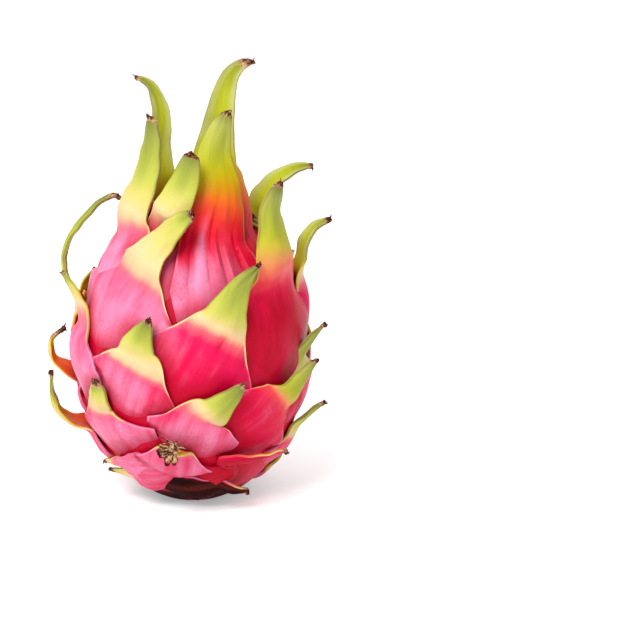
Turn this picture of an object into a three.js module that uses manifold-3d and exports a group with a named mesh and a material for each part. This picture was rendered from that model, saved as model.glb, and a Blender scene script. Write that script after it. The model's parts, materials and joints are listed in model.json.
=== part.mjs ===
// A whole dragon fruit (pitaya): an oval body clothed in leafy scales, which grow in a spiral
// from the stem end that it stands on to the hollow at the top where the flower sat.
// Millimetres, +Z up, -Y the front. The origin is the middle of the flat spot it rests on.

import * as THREE from 'three';
import { mergeVertices } from 'three/addons/utils/BufferGeometryUtils.js';
import Module from 'manifold-3d';

const wasm = await Module();
wasm.setup();
const { Manifold, Mesh } = wasm;

// ---- the body under the scales ---------------------------------------------------------------

const CORE_RADIUS = 45.5;
const CORE_HALF_HEIGHT = 60;
const CORE_CENTRE = 57.5; // a little less than the half height, so z = 0 cuts the flat spot
const NAVEL_RADIUS = 11; // the hollow that the flower left
const NAVEL_DEPTH = 7;
const NAVEL_FLOOR = CORE_CENTRE - NAVEL_DEPTH
  + CORE_HALF_HEIGHT * Math.sqrt(1 - (NAVEL_RADIUS / CORE_RADIUS) ** 2);
const CLEARANCE = 0.3; // between the fruit and the dry remnant in the hollow
const WELD = 1e-3; // corners nearer than this are one
const CORE_RINGS = 15; // fineness of the core from the flat spot up to the hollow's rim
const CORE_SIDES = 32; // and round its axis
const REMNANT_SIDES = 18;

// ---- the spiral of scales --------------------------------------------------------------------

const SCALE_COUNT = 47;
const GOLDEN_ANGLE = 137.5; // degrees from each scale round to the next
const FIRST_AZIMUTH = -32.5; // degrees from -Y, counted toward +X
const LOWEST = 4; // height of the first scale's shoulder
const HIGHEST = 112; // height of the last one's
const CROWDING = 0.9; // below 1 the scales stand closer together toward the top
const FREE_GROUND = [29, 46]; // the numbers in the spiral whose scales never grew

// ---- one scale -------------------------------------------------------------------------------

// A scale is described from its shoulder, the widest place, where it parts from the body.
//   tilt    degrees by which it leans from straight up toward +aside
//   width   across the shoulder
//   root    length of the part below the shoulder, which swells out of the body
//   hug     how far above the shoulder it still lies along the body
//   path    points of the free blade's middle line [out, aside, up], the last being the tip
//   blade   width of the blade's lower part as a share of the shoulder's
//   sharp   how quickly the shoulder narrows into the blade
//   taper   how the blade narrows to its tip: small stays wide for long and ends bluntly
//   twist   degrees that the blade turns about its own length
//   rise    height of its middle above the body at the shoulder
//   lip     height of its margins above the body there, so that they stand free
const ORDINARY = {
  tilt: 0, width: 40, root: 24, hug: 8, rise: 3.2, lip: 2.2,
  blade: 0.45, sharp: 3.6, taper: 0.6, twist: 0,
};
const ROOT_END = 0.22; // width of a root's end as a share of the shoulder's
const ROOT_BULGE = 0.9; // how a root widens to the shoulder: small is fuller
const SUNK_MIDDLE = -1.6; // the outer face's height over the body at a root's end
const SUNK_MARGIN = -1.8;
const MARGIN_PARTS = 0.45; // share of the root's length along which its margins stand free
const RIM = 2.2; // how narrow the strip is in which the middle's height passes to the margin's
const ROOT_DEPTH = 7; // how deep the middle of a root sinks into the body
const MARGIN_ROOT_DEPTH = 4;
const THICKNESS = 3; // of the blade's middle at the shoulder
const TIP_THICKNESS = 1.2;
const MARGIN_THICKNESS = 1;
const BODY_SHARE = 0.3; // share of the free length in which the blade leaves the body's shape
const CHANNEL = 0.35; // hollowing of the blade's inner face
const TIP_HALF_WIDTH = 0.5;

// The scales that grew in a way of their own, by their number in the spiral.
const STRAYS = {
  // the dried ones round the foot
  3: { azimuth: 4, height: 10, tilt: 82, width: 19, root: 36, hug: 6, rise: 2, lip: 1.6, blade: 0.6,
    taper: 0.5, path: [[3, 12, -1], [2, 17, -2], [0, 21, -2]] },
  // the lower rows
  0: { azimuth: -33, height: 15, tilt: -90, width: 16, root: 27, hug: 4, rise: 2.4, lip: 2,
    path: [[0, -8, -2], [-3, -21, -2]] },
  5: { azimuth: -36, height: 20, tilt: -94, width: 14, root: 22, hug: 3, rise: 2.4, lip: 2.2,
    path: [[0, -10, -2], [-5, -22, -4]] },
  8: { azimuth: -10, height: 22, tilt: 14, width: 30, root: 16, hug: 5,
    path: [[16, 3, 8], [20, 6, 13]] },
  10: { azimuth: -88, height: 21, width: 34, root: 20, hug: 3, blade: 0.35,
    path: [[12, 2, 7], [18, 3, 12], [21, 3, 19], [21, 3, 31]] },
  11: { azimuth: 14, height: 15, tilt: 74, width: 17, root: 18, hug: 6, rise: 2.2, lip: 1.6,
    path: [[8, 2, 7], [8, 14, 8], [2, 31, 9]] },
  13: { azimuth: -50, height: 35, tilt: -4, width: 48, root: 24, hug: 6, blade: 0.36, sharp: 6,
    taper: 0.5, path: [[7, 2, 11], [9, 4, 21]] },
  14: { azimuth: 76, height: 44, tilt: -12, width: 42, path: [[1, -2, 12], [5, -2, 21], [11, 0, 29]] },
  16: { azimuth: 3, height: 37, tilt: 20, width: 36, root: 22, hug: 4, path: [[6, 9, 9], [8, 20, 21]] },
  18: { azimuth: -98, height: 38, width: 32, root: 20, hug: 4, blade: 0.2,
    path: [[7, 5, 11], [13, 6, 16], [15, 6, 22], [13, 6, 27], [8, 5, 30]] },
  19: { azimuth: 38, height: 40, tilt: 45, path: [[5, 10, 5], [6, 25, 21]] },
  // the middle rows
  21: { azimuth: -29, height: 55, tilt: 24, root: 26, blade: 0.5, sharp: 2.6,
    path: [[4, 5, 16], [4, 12, 28]] },
  23: { azimuth: -109, height: 62, width: 28, rise: 1.6, lip: 1.2, path: [[2, 1, 14], [1, 1, 19]] },
  24: { azimuth: 6, height: 64, tilt: 29, width: 46, root: 26, blade: 0.5, taper: 0.75,
    path: [[3, 9, 16], [3, 12, 23], [2, 17, 32], [-1, 24, 39]] },
  26: { azimuth: -72, height: 57, width: 38, root: 26, rise: 4.4, blade: 0.5,
    path: [[1, 1, 17], [2, 0, 25], [4, 0, 31], [7, -2, 37]] },
  27: { azimuth: 98, height: 76, width: 38, rise: 5, blade: 0.42, taper: 0.5, twist: -20,
    path: [[3, 0, 14], [3, 0, 21], [4, -1, 27], [7, 0, 31], [13, 0, 35]] },
  28: { azimuth: -138, height: 74, path: [[-3, 1, 21], [-7, -1, 31]] },
  31: { azimuth: -100, height: 64, width: 34, root: 22, hug: 4, rise: 4.4, lip: 3.2, blade: 0.17,
    sharp: 12, taper: 0.25, twist: -50,
    path: [[4, 7, 18], [7, 6, 28], [6, 6, 36], [1, 4, 46], [-8, 2, 55], [-14, 1, 58], [-17, 1, 56]] },
  32: { azimuth: 54, height: 74, tilt: 2, width: 50, root: 30, rise: 4.5, blade: 0.58, taper: 0.5,
    path: [[6, -5, 28], [3, -4, 37], [1, -4, 46], [2, -1, 58]] },
  34: { azimuth: -41, height: 84, tilt: 20, width: 66, root: 34, blade: 0.28, sharp: 4, taper: 0.4,
    path: [[-3, 8, 18], [-8, 13, 26], [-11, 20, 33], [-15, 26, 38]] },
  36: { azimuth: -131, height: 68, tilt: 45, width: 28, root: 22, rise: 1.6, lip: 1.2, blade: 0.75,
    taper: 0.45, path: [[3, 10, 8], [2, 11, 14], [-1, 12, 21]] },
  // the long ones at the top
  35: { azimuth: 110, height: 90, width: 34, root: 22, blade: 0.52, taper: 0.5, twist: -25,
    path: [[-8, 0, 25], [-5, -1, 32], [0, -1, 37], [6, -2, 40], [12, -3, 41]] },
  37: { azimuth: 21, height: 93, width: 38, root: 58, lip: 2.6, blade: 0.72, sharp: 5, taper: 0.5,
    path: [[-12, 4, 33], [-17, 4, 46], [-19, 7, 57], [-20, 11, 64]] },
  38: { azimuth: 165, height: 100, width: 42, root: 22, blade: 0.45, sharp: 3, taper: 0.5,
    path: [[-11, -3, 25], [-10, -4, 39], [-10, -6, 52], [-7, -8, 64], [-5, -12, 70], [-3, -18, 72]] },
  39: { azimuth: -57, height: 94, tilt: -3, width: 33, root: 34, blade: 0.76, sharp: 4.5, taper: 0.44,
    twist: -10, path: [[-6, -2, 22], [-11, 0, 33], [-15, 2, 46], [-17, 1, 61]] },
  40: { azimuth: 72, height: 96, tilt: 6, width: 36, path: [[-1, 1, 7], [-1, 0, 12]] },
  41: { azimuth: -140, height: 96, width: 34, root: 36, blade: 0.48, taper: 0.5,
    path: [[-15, 3, 28], [-15, 2, 44], [-14, 0, 57], [-10, 1, 66], [-5, 5, 70]] },
  42: { azimuth: -25, height: 100, tilt: 2, width: 28, root: 44, rise: 2.2, lip: 1, blade: 0.66,
    sharp: 6, taper: 0.3, path: [[-2, 5, 20], [-6, 9, 29], [-10, 12, 43]] },
  43: { azimuth: 118, height: 104, width: 24, root: 22, path: [[-1, -5, 5], [-5, -5, 9]] },
  44: { azimuth: -105, height: 110, width: 22, root: 28, path: [[-3, -2, 8], [-4, -3, 13]] },
  45: { azimuth: 52, height: 98, width: 36, root: 16, rise: 1.6, lip: 1, blade: 0.5, taper: 0.5,
    path: [[-7, 1, 15], [-9, 2, 26], [-13, 2, 36], [-17, 2, 46]] },
};

// Fineness of the solid of one scale: places across its outer and inner faces, -1 and 1 being
// the margins, places along its root, and the steps along its free blade beside one for each
// point of its path.
const OUTER_PLACES = [-1, -0.55, 0, 0.55, 1];
const INNER_PLACES = [0.6, -0.6];
const ROOT_PLACES = [-1, -0.5, 0];
const BLADE_STEPS = 3;
const CURVE_STEPS = 16; // between two points of a path, where the middle line is worked out

const { lerp, smoothstep, degToRad } = THREE.MathUtils;

function compass(azimuth) {
  const a = degToRad(azimuth);
  return {
    out: new THREE.Vector3(Math.sin(a), -Math.cos(a), 0),
    aside: new THREE.Vector3(Math.cos(a), Math.sin(a), 0),
    up: new THREE.Vector3(0, 0, 1),
  };
}

function blend(a, b, share) {
  return a.clone().lerp(b, share);
}

function along(start, ...steps) {
  const point = start.clone();
  for (const [direction, length] of steps) {
    point.addScaledVector(direction, length);
  }
  return point;
}

// ---- the core, an ellipsoid ------------------------------------------------------------------

const CORE_AXES = new THREE.Vector3(CORE_RADIUS, CORE_RADIUS, CORE_HALF_HEIGHT);
const CORE_MIDDLE = new THREE.Vector3(0, 0, CORE_CENTRE);

function coreRadiusAt(height) {
  return CORE_RADIUS * Math.sqrt(Math.max(0, 1 - ((height - CORE_CENTRE) / CORE_HALF_HEIGHT) ** 2));
}

function coreNormal(point) {
  return point.clone().sub(CORE_MIDDLE).divide(CORE_AXES).divide(CORE_AXES).normalize();
}

// Where the line through the point along the direction comes out of the core.
function dropToCore(point, direction) {
  const p = point.clone().sub(CORE_MIDDLE).divide(CORE_AXES);
  const d = direction.clone().divide(CORE_AXES);
  const a = d.dot(d);
  const b = 2 * p.dot(d);
  const c = p.dot(p) - 1;
  const root = Math.sqrt(Math.max(0, b * b - 4 * a * c));
  return along(point, [direction, (root - b) / (2 * a)]);
}

// ---- the scales ------------------------------------------------------------------------------

class Scale {
  constructor(shape) {
    Object.assign(this, ORDINARY, shape);
    const { out, aside, up } = compass(this.azimuth);
    this.shoulder = along(new THREE.Vector3(0, 0, this.height), [out, coreRadiusAt(this.height)]);
    this.normal = coreNormal(this.shoulder);
    const rising = new THREE.Vector3().crossVectors(this.normal, aside);
    const lean = degToRad(this.tilt);
    this.ahead = rising.clone().multiplyScalar(Math.cos(lean)).addScaledVector(aside, Math.sin(lean));
    this.across = aside.clone().multiplyScalar(Math.cos(lean)).addScaledVector(rising, -Math.sin(lean));

    const places = this.path.map(([o, s, u]) => along(this.shoulder, [out, o], [aside, s], [up, u]));
    this.length = this.hug + places.at(-1).distanceTo(this.shoulder);
    const start = this.onBody(this.hug, 0).point;
    const direction = start.clone().sub(this.onBody(this.hug - 1, 0).point).normalize();
    this.knots = [start, ...places];
    this.layTangents(direction);
    this.layFrames();
    this.length = this.hug + this.frames.at(-1).distance;
  }

  // The middle line leaves the body along the body, and runs smoothly through every knot.
  layTangents(direction) {
    const knots = this.knots;
    const last = knots.length - 1;
    this.tangents = knots.map((knot, i) => {
      if (i === 0) return direction.multiplyScalar(knots[1].distanceTo(knots[0]));
      if (i < last) return knots[i + 1].clone().sub(knots[i - 1]).multiplyScalar(0.5);
      return null;
    });
    const end = knots[last].clone().sub(knots[last - 1]);
    if (last > 1) end.multiplyScalar(1.5).addScaledVector(this.tangents[last - 1], -0.5);
    this.tangents[last] = end;
  }

  curve(t) {
    const i = Math.min(Math.floor(t), this.knots.length - 2);
    const u = t - i;
    const u2 = u * u;
    const u3 = u2 * u;
    return new THREE.Vector3()
      .addScaledVector(this.knots[i], 2 * u3 - 3 * u2 + 1)
      .addScaledVector(this.tangents[i], u3 - 2 * u2 + u)
      .addScaledVector(this.knots[i + 1], 3 * u2 - 2 * u3)
      .addScaledVector(this.tangents[i + 1], u3 - u2);
  }

  // Points along the middle line, each with the blade's own directions there.
  layFrames() {
    const count = CURVE_STEPS * (this.knots.length - 1);
    const points = [];
    for (let i = 0; i <= count; i += 1) {
      points.push(this.curve(i / CURVE_STEPS));
    }
    let across = this.across;
    let distance = 0;
    this.frames = points.map((point, i) => {
      const ahead = points[Math.min(i + 1, count)].clone().sub(points[Math.max(i - 1, 0)]).normalize();
      across = along(across, [ahead, -across.dot(ahead)]).normalize();
      distance += i ? point.distanceTo(points[i - 1]) : 0;
      return { point, ahead, across, distance };
    });
  }

  frameAt(distance) {
    const frames = this.frames;
    let i = frames.findIndex((frame) => frame.distance > distance);
    i = i < 0 ? frames.length - 1 : Math.max(i, 1);
    const [a, b] = [frames[i - 1], frames[i]];
    const share = Math.min(1, (distance - a.distance) / (b.distance - a.distance));
    const ahead = blend(a.ahead, b.ahead, share).normalize();
    const flat = blend(a.across, b.across, share).normalize();
    const outward = new THREE.Vector3().crossVectors(flat, ahead);
    const turn = degToRad((this.twist * distance) / frames.at(-1).distance);
    return {
      point: blend(a.point, b.point, share),
      ahead,
      across: flat.clone().multiplyScalar(Math.cos(turn)).addScaledVector(outward, Math.sin(turn)),
      outward: outward.clone().multiplyScalar(Math.cos(turn)).addScaledVector(flat, -Math.sin(turn)),
    };
  }

  halfWidth(a) {
    if (a <= 0) {
      const share = Math.max(0, 1 + a / this.root);
      return (this.width / 2) * lerp(ROOT_END, 1, Math.sin((share * Math.PI) / 2) ** ROOT_BULGE);
    }
    const left = 1 - Math.min(1, a / this.length);
    const share = (1 - this.blade) * left ** this.sharp + this.blade * left ** this.taper;
    return Math.max(TIP_HALF_WIDTH, (this.width / 2) * share);
  }

  // Height of the outer face above the body, from its sunken root to its free shoulder.
  lift(a, b) {
    const middle = lerp(SUNK_MIDDLE, this.rise, smoothstep(a, -this.root, this.hug));
    const parting = smoothstep(a, -this.root * MARGIN_PARTS, this.hug / 2);
    return lerp(middle, lerp(SUNK_MARGIN, this.lip, parting), Math.abs(b) ** RIM);
  }

  thickness(a, b) {
    const blade = lerp(THICKNESS, TIP_THICKNESS, Math.max(0, a / this.length));
    const middle = lerp(ROOT_DEPTH, blade, smoothstep(a, -this.root * 0.2, this.hug));
    const parting = smoothstep(a, -this.root * 0.6, -this.root * 0.1);
    return lerp(middle, lerp(MARGIN_ROOT_DEPTH, MARGIN_THICKNESS, parting), b * b);
  }

  onBody(a, b) {
    const flat = along(this.shoulder, [this.ahead, a], [this.across, b * this.halfWidth(a)]);
    const foot = dropToCore(flat, this.normal);
    const outward = coreNormal(foot);
    return { point: along(foot, [outward, this.lift(a, b)]), outward };
  }

  // The outer face at a distance along the scale and a place b across it.
  face(a, b) {
    const distance = a - this.hug;
    const leaving = BODY_SHARE * this.length;
    const free = smoothstep(distance, 0, leaving);
    const body = this.onBody(Math.min(a, this.hug + leaving), b);
    if (free === 0) return body;
    const frame = this.frameAt(Math.max(0, distance));
    const half = this.halfWidth(a);
    const point = along(
      frame.point,
      [frame.across, half * b],
      [frame.outward, -CHANNEL * half * b * b],
      [frame.ahead, Math.min(0, distance)],
    );
    return {
      point: blend(body.point, point, free),
      outward: blend(body.outward, frame.outward, free).normalize(),
    };
  }

  ring(a) {
    const outer = OUTER_PLACES.map((b) => this.face(a, b).point);
    const inner = INNER_PLACES.map((b) => {
      const { point, outward } = this.face(a, b);
      return along(point, [outward, -this.thickness(a, b)]);
    });
    return [...outer, ...inner];
  }

  rows() {
    const rows = ROOT_PLACES.map((share) => share * this.root);
    const steps = BLADE_STEPS + this.path.length;
    for (let i = 0; i <= steps; i += 1) {
      rows.push(lerp(this.hug * 0.6, this.length, (i / steps) ** 0.9));
    }
    return rows;
  }

  solid() {
    const rings = this.rows().map((a) => this.ring(a));
    const around = rings[0].length;
    const points = rings.flat();
    const faces = [];
    for (let row = 0; row + 1 < rings.length; row += 1) {
      for (let i = 0; i < around; i += 1) {
        const a = row * around + i;
        const b = row * around + ((i + 1) % around);
        faces.push(a, b, b + around, a, b + around, a + around);
      }
    }
    const last = points.length - around;
    for (let i = 1; i + 1 < around; i += 1) {
      faces.push(0, i + 1, i);
      faces.push(last, last + i, last + i + 1);
    }
    const mesh = new Mesh({
      numProp: 3,
      vertProperties: new Float32Array(points.flatMap((point) => point.toArray())),
      triVerts: new Uint32Array(faces),
    });
    return new Manifold(mesh);
  }
}

// A repeatable number from 0 to 1 for each scale and each of its habits.
function chance(number, habit) {
  const wave = Math.sin(number * 12.9898 + habit * 78.233) * 43758.5453;
  return wave - Math.floor(wave);
}

// A value that passes evenly through the [share, value] stops.
function between(stops, share) {
  const i = Math.max(1, stops.findIndex(([at]) => at >= share));
  const [from, to] = [stops[i - 1], stops[i]];
  return lerp(from[1], to[1], (share - from[0]) / (to[0] - from[0]));
}

// An ordinary scale by its height: short and spreading at the foot, long and upright at the
// shoulders of the fruit, and short again round the hollow at the top.
function ordinaryScale(number, azimuth, height) {
  const share = (height - LOWEST) / (HIGHEST - LOWEST);
  const stray = (habit, most) => (chance(number, habit) - 0.5) * 2 * most;
  const reach = between([[0, 12], [0.5, 30], [0.85, 40], [0.92, 22], [1, 16]], share)
    * (1 + stray(1, 0.15));
  const spread = stray(2, 3);
  const sway = stray(4, 7);
  const lean = between([[0, 0.25], [0.85, 0.25], [1, 0.6]], share);
  const place = (part, away, sideways) => {
    const up = reach * part;
    const surface = coreRadiusAt(height + up) - coreRadiusAt(height);
    return [Math.max(surface, -lean * up) + away, sway * sideways, up];
  };
  return {
    azimuth: azimuth + stray(5, 5),
    height: height + stray(6, 2),
    tilt: stray(7, 22),
    width: between([[0, 22], [0.4, 44], [0.8, 42], [1, 20]], share),
    root: between([[0, 12], [0.4, 25], [0.8, 25], [1, 14]], share),
    blade: between([[0, 0.4], [0.8, 0.55], [1, 0.5]], share) + stray(8, 0.06),
    twist: stray(9, 20),
    path: [place(0.45, 3.5, 0.3), place(0.75, 6 + spread, 0.7), place(1, 10 + spread * 2, 1)],
  };
}

function scaleShapes() {
  const shapes = [];
  for (let number = 0; number < SCALE_COUNT; number += 1) {
    if (FREE_GROUND.includes(number)) continue;
    const azimuth = FIRST_AZIMUTH + number * GOLDEN_ANGLE;
    const height = lerp(LOWEST, HIGHEST, (number / (SCALE_COUNT - 1)) ** CROWDING);
    shapes.push(STRAYS[number] ?? ordinaryScale(number, azimuth, height));
  }
  return shapes;
}

// ---- building the pieces ---------------------------------------------------------------------

function fromGeometry(geometry) {
  const bare = new THREE.BufferGeometry();
  bare.setAttribute('position', geometry.getAttribute('position'));
  bare.setIndex(geometry.index);
  const merged = mergeVertices(bare, WELD);
  return new Manifold(new Mesh({
    numProp: 3,
    vertProperties: new Float32Array(merged.getAttribute('position').array),
    triVerts: new Uint32Array(merged.index.array),
  }));
}

function toGeometry(solid) {
  const mesh = solid.getMesh();
  const geometry = new THREE.BufferGeometry();
  geometry.setAttribute('position', new THREE.BufferAttribute(mesh.vertProperties, 3));
  geometry.setIndex(new THREE.BufferAttribute(mesh.triVerts, 1));
  return geometry;
}

function toNode(solid, name, colour, roughness) {
  const geometry = toGeometry(solid);
  geometry.computeVertexNormals();
  const node = new THREE.Mesh(geometry, new THREE.MeshStandardMaterial({ color: colour, roughness }));
  node.name = name;
  return node;
}

// A solid of revolution about the Z axis from [radius, height] pairs, bottom to top.
function turned(profile, segments) {
  const points = profile.map(([radius, height]) => new THREE.Vector2(radius, height));
  return fromGeometry(new THREE.LatheGeometry(points, segments).rotateX(Math.PI / 2));
}

// The core's outline from the flat spot up to the hollow, and in to the hollow's floor.
function coreProfile() {
  const bottom = Math.asin(-CORE_CENTRE / CORE_HALF_HEIGHT);
  const rim = Math.acos(NAVEL_RADIUS / CORE_RADIUS);
  const profile = [[0, 0]];
  for (let i = 0; i <= CORE_RINGS; i += 1) {
    const angle = lerp(bottom, rim, i / CORE_RINGS);
    profile.push([CORE_RADIUS * Math.cos(angle), CORE_CENTRE + CORE_HALF_HEIGHT * Math.sin(angle)]);
  }
  profile[1][1] = 0;
  profile.push([NAVEL_RADIUS * 0.75, NAVEL_FLOOR + NAVEL_DEPTH * 0.4]);
  profile.push([NAVEL_RADIUS * 0.5, NAVEL_FLOOR]);
  profile.push([0, NAVEL_FLOOR]);
  return profile;
}

// The outside of a solid alone: pockets shut in between overlapping scales are filled.
function outerSkin(solid) {
  const { vertProperties, triVerts } = fromGeometry(toGeometry(solid)).getMesh();
  const owner = Array.from({ length: vertProperties.length / 3 }, (_, i) => i);
  const find = (vertex) => {
    let top = vertex;
    while (owner[top] !== top) top = owner[top];
    owner[vertex] = top;
    return top;
  };
  for (let i = 0; i < triVerts.length; i += 3) {
    owner[find(triVerts[i + 1])] = find(triVerts[i]);
    owner[find(triVerts[i + 2])] = find(triVerts[i]);
  }
  const sizes = new Map();
  for (const vertex of triVerts) {
    sizes.set(find(vertex), (sizes.get(find(vertex)) ?? 0) + 1);
  }
  const [skin] = [...sizes.entries()].reduce((a, b) => (b[1] > a[1] ? b : a));
  const faces = [];
  for (let i = 0; i < triVerts.length; i += 3) {
    if (find(triVerts[i]) === skin) faces.push(...triVerts.slice(i, i + 3));
  }
  const geometry = new THREE.BufferGeometry();
  geometry.setAttribute('position', new THREE.BufferAttribute(vertProperties, 3));
  geometry.setIndex(faces);
  return fromGeometry(geometry);
}

let fruit = turned(coreProfile(), CORE_SIDES);
for (const shape of scaleShapes()) {
  fruit = fruit.add(new Scale(shape).solid());
}
const ground = fromGeometry(new THREE.BoxGeometry(300, 300, 60).translate(0, 0, -30));
fruit = outerSkin(fruit.subtract(ground));

const remnant = turned([
  [0, NAVEL_FLOOR + CLEARANCE],
  [4.4, NAVEL_FLOOR + CLEARANCE],
  [4.0, NAVEL_FLOOR + 3],
  [5.0, NAVEL_FLOOR + 6],
  [3.2, NAVEL_FLOOR + 8],
  [1.2, NAVEL_FLOOR + 5],
  [0, NAVEL_FLOOR + 4.6],
], REMNANT_SIDES);

const dragonFruit = new THREE.Group();
dragonFruit.name = 'dragon_fruit_whole';
dragonFruit.add(toNode(fruit, 'dragon_fruit', 0xe83a78, 0.45));
dragonFruit.add(toNode(remnant, 'dried_flower_base', 0x6b4a2c, 0.9));

export default dragonFruit;
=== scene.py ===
"""A whole dragon fruit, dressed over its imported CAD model: the fine surface of its body and
scales, the peel's and the dry stump's materials, and the studio it is seen in.

The CAD frame's origin is the middle of the flat spot that the fruit rests on, +Z is up and -Y is
the front. Shapes are worked out in millimetres and stored in metres.
"""

import json
from functools import partial, reduce
from math import radians

import bmesh
import bpy
import numpy as np
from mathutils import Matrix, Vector

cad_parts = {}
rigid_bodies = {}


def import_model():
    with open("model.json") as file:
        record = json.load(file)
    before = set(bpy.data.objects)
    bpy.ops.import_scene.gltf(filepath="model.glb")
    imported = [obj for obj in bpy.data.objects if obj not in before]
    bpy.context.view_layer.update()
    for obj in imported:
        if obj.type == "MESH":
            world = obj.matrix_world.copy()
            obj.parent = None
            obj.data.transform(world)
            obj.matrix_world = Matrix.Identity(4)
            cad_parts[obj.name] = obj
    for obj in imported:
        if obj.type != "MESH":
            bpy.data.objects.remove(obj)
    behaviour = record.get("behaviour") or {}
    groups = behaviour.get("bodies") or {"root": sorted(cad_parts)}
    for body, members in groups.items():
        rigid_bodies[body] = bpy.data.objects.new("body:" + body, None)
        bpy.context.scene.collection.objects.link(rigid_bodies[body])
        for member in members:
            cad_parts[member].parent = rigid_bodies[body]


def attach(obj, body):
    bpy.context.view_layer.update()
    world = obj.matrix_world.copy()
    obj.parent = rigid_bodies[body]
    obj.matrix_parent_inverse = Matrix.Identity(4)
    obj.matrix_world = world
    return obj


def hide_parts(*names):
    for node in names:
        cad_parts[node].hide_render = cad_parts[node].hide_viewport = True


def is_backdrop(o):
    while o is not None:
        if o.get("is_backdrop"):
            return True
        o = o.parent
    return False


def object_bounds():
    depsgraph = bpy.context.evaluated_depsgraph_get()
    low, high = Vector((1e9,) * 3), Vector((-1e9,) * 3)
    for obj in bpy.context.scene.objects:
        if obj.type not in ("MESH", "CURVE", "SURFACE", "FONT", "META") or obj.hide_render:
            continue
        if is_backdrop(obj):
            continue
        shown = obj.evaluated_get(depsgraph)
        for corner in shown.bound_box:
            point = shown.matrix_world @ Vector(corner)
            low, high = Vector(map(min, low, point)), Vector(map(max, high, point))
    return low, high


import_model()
CAD_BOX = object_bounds()
MM = 0.001

# ---- the same fruit as the CAD model's, in millimetres

CORE_RADIUS = 45.5
CORE_HALF_HEIGHT = 60.0
CORE_CENTRE = 57.5
NAVEL_RADIUS = 11.0
NAVEL_DEPTH = 7.0
NAVEL_FLOOR = (
    CORE_CENTRE - NAVEL_DEPTH + CORE_HALF_HEIGHT * np.sqrt(1 - (NAVEL_RADIUS / CORE_RADIUS) ** 2)
)
FOOT_RADIUS = CORE_RADIUS * np.sqrt(1 - (CORE_CENTRE / CORE_HALF_HEIGHT) ** 2)
NAVEL_SIDE = ((0.93, 0.85), (0.78, 0.45), (0.64, 0.12), (0.45, 0.0))  # shares of radius, depth
CORE_RINGS = 64
CORE_SIDES = 120
AXIS_RADIUS = 0.05  # of the smallest ring, which closes an end

SCALE_COUNT = 47
GOLDEN_ANGLE = 137.5
FIRST_AZIMUTH = -32.5
LOWEST = 4.0
HIGHEST = 112.0
CROWDING = 0.9
FREE_GROUND = (29, 46)

ROOT_END = 0.22
ROOT_BULGE = 0.9
SUNK_MIDDLE = -1.6
SUNK_MARGIN = -1.8
MARGIN_PARTS = 0.45
RIM = 2.2
ROOT_DEPTH = 7.0
MARGIN_ROOT_DEPTH = 4.0
THICKNESS = 3.0
TIP_THICKNESS = 1.2
MARGIN_THICKNESS = 1.0
BODY_SHARE = 0.3
CHANNEL = 0.35
TIP_HALF_WIDTH = 0.5
CURVE_STEPS = 16

# How far out from a margin the peel beneath it gets painted shade, deep red, and how far over it
# the margin has to stand.
SHADE_REACH = 11.0
SHADE_RISE = 0.5

# How pale the bare body is, which every scale's root matches: below zero, so it is crimson, as painted
# shade in the recesses where the body shows between the scales.
CORE_PALENESS_AND_SHADE = -0.15

# A painted highlight, a pale stripe: its strength and breadth.
GLEAM = 0.7
GLEAM_BREADTH = 0.1

# Height up to which the bare body is brown and woody, round the stem's scar.
STEM_END = 9.0

# Edges sharper than this, in degrees, aren't smoothed.
SHARP_FROM = 45

# The relief of a scale: swells all over, wrinkles in its dead tip, and grooves that wander.
SWELL_HEIGHT = 0.45
SWELL_LENGTH = 26
WRINKLE_HEIGHT = 0.35
WRINKLE_LENGTH = 4.0
GROOVE_WANDER = 0.05

# How far apart two scales' streaks are taken from the same pattern.
STREAKS_APART = 7.3

# How finely one scale is modelled: places across its outer and inner faces, and steps along it.
# The outer ones crowd towards the margins, and the steps towards the tip.
OUTER_PLACES = 23
OUTER_CROWDING = 0.86
INNER_PLACES = 13
INNER_MARGIN = 0.97
ROOT_STEPS = 14
BLADE_STEPS = 34
STEP_CROWDING = 0.92

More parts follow.
